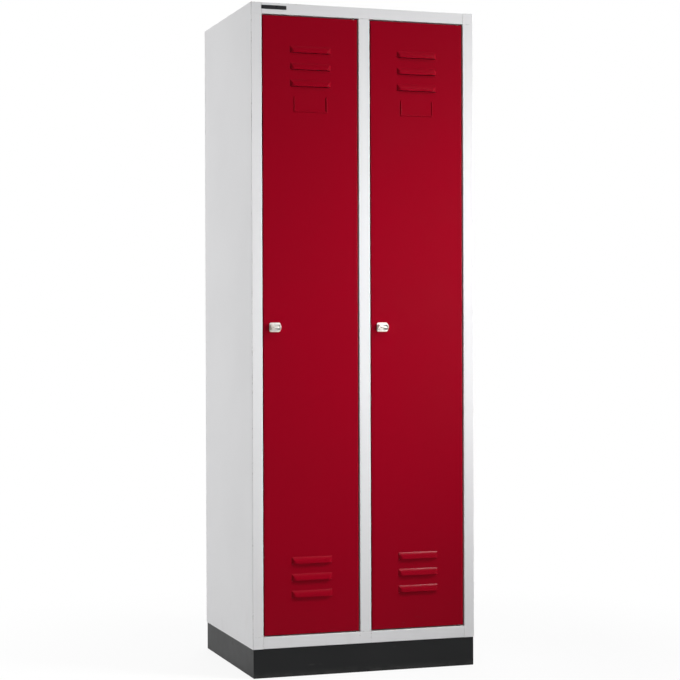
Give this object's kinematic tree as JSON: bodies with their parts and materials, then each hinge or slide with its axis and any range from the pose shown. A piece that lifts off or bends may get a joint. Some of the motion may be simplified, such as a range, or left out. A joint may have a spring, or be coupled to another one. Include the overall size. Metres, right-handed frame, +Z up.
{
  "type": "clothing locker",
  "caption": "Tall sheet-steel clothing locker with two hinged louvred doors, turn latches, hat shelves, coat rails with sliding hooks, and a dark plinth.",
  "frame": {"origin": "on the floor, under the middle of the body's width and depth", "axes": "+X to the right seen from the front, +Y from the doors to the back, +Z up"},
  "size_m": [0.635, 0.5142, 1.8],
  "materials": {
    "body_grey": "satin powder coat",
    "door_red": "satin powder coat",
    "plinth_dark": "satin powder coat",
    "badge_dark": "plain satin",
    "zinc_steel": "bright zinc",
    "latch_nickel": "nickel plated",
    "rail_chrome": "bright chrome",
    "black_nylon": "moulded",
    "black_rubber": "matt"
  },
  "bodies": {
    "cabinet": {"left_side_panel": "body_grey", "right_side_panel": "body_grey", "back_panel": "body_grey", "top_panel": "body_grey", "floor_panel": "body_grey", "centre_partition": "body_grey", "badge_plate": "badge_dark", "plinth_front": "plinth_dark", "plinth_rear": "plinth_dark", "plinth_left": "plinth_dark", "plinth_right": "plinth_dark", "plinth_screws": "zinc_steel", "plinth_nuts": "zinc_steel", "left_hat_shelf": "body_grey", "left_shelf_brackets": "body_grey", "left_coat_rail": "rail_chrome", "left_rail_cups": "black_nylon", "left_hinge_bushes": "black_nylon", "left_door_buffers": "black_rubber", "right_hat_shelf": "body_grey", "right_shelf_brackets": "body_grey", "right_coat_rail": "rail_chrome", "right_rail_cups": "black_nylon", "right_hinge_bushes": "black_nylon", "right_door_buffers": "black_rubber"},
    "left_door": {"left_door_panel": "door_red", "left_door_stiffener": "door_red", "left_hinge_pins": "zinc_steel", "left_latch_housing": "latch_nickel", "left_latch_nut": "zinc_steel"},
    "left_latch": {"left_latch_vane": "latch_nickel", "left_latch_cam": "zinc_steel", "left_cam_screw": "zinc_steel"},
    "left_hook_1": {"left_coat_hook_1": "black_nylon"},
    "left_hook_2": {"left_coat_hook_2": "black_nylon"},
    "left_hook_3": {"left_coat_hook_3": "black_nylon"},
    "right_door": {"right_door_panel": "door_red", "right_door_stiffener": "door_red", "right_hinge_pins": "zinc_steel", "right_latch_housing": "latch_nickel", "right_latch_nut": "zinc_steel"},
    "right_latch": {"right_latch_vane": "latch_nickel", "right_latch_cam": "zinc_steel", "right_cam_screw": "zinc_steel"},
    "right_hook_1": {"right_coat_hook_1": "black_nylon"},
    "right_hook_2": {"right_coat_hook_2": "black_nylon"},
    "right_hook_3": {"right_coat_hook_3": "black_nylon"}
  },
  "joints": [
    {"name": "left_door_swing", "type": "hinge", "parent": "cabinet", "child": "left_door", "pos_m": [-0.0306, -0.2419, 0.94], "axis": [0, 0, 1], "range_deg": [0, 110]},
    {"name": "left_latch_turn", "type": "hinge", "parent": "left_door", "child": "left_latch", "pos_m": [-0.254, -0.249, 0.935], "axis": [0, 1, 0], "range_deg": [0, 90]},
    {"name": "left_hook_1_slide", "type": "slide", "parent": "cabinet", "child": "left_hook_1", "axis": [1, 0, 0], "range_m": [-0.04392, 0.04392]},
    {"name": "left_hook_2_slide", "type": "slide", "parent": "cabinet", "child": "left_hook_2", "axis": [1, 0, 0], "range_m": [-0.04392, 0.04392]},
    {"name": "left_hook_3_slide", "type": "slide", "parent": "cabinet", "child": "left_hook_3", "axis": [1, 0, 0], "range_m": [-0.04392, 0.04392]},
    {"name": "right_door_swing", "type": "hinge", "parent": "cabinet", "child": "right_door", "pos_m": [0.2734, -0.2419, 0.94], "axis": [0, 0, 1], "range_deg": [0, 110]},
    {"name": "right_latch_turn", "type": "hinge", "parent": "right_door", "child": "right_latch", "pos_m": [0.05, -0.249, 0.935], "axis": [0, 1, 0], "range_deg": [0, 90]},
    {"name": "right_hook_1_slide", "type": "slide", "parent": "cabinet", "child": "right_hook_1", "axis": [1, 0, 0], "range_m": [-0.04392, 0.04392]},
    {"name": "right_hook_2_slide", "type": "slide", "parent": "cabinet", "child": "right_hook_2", "axis": [1, 0, 0], "range_m": [-0.04392, 0.04392]},
    {"name": "right_hook_3_slide", "type": "slide", "parent": "cabinet", "child": "right_hook_3", "axis": [1, 0, 0], "range_m": [-0.04392, 0.04392]}
  ]
}
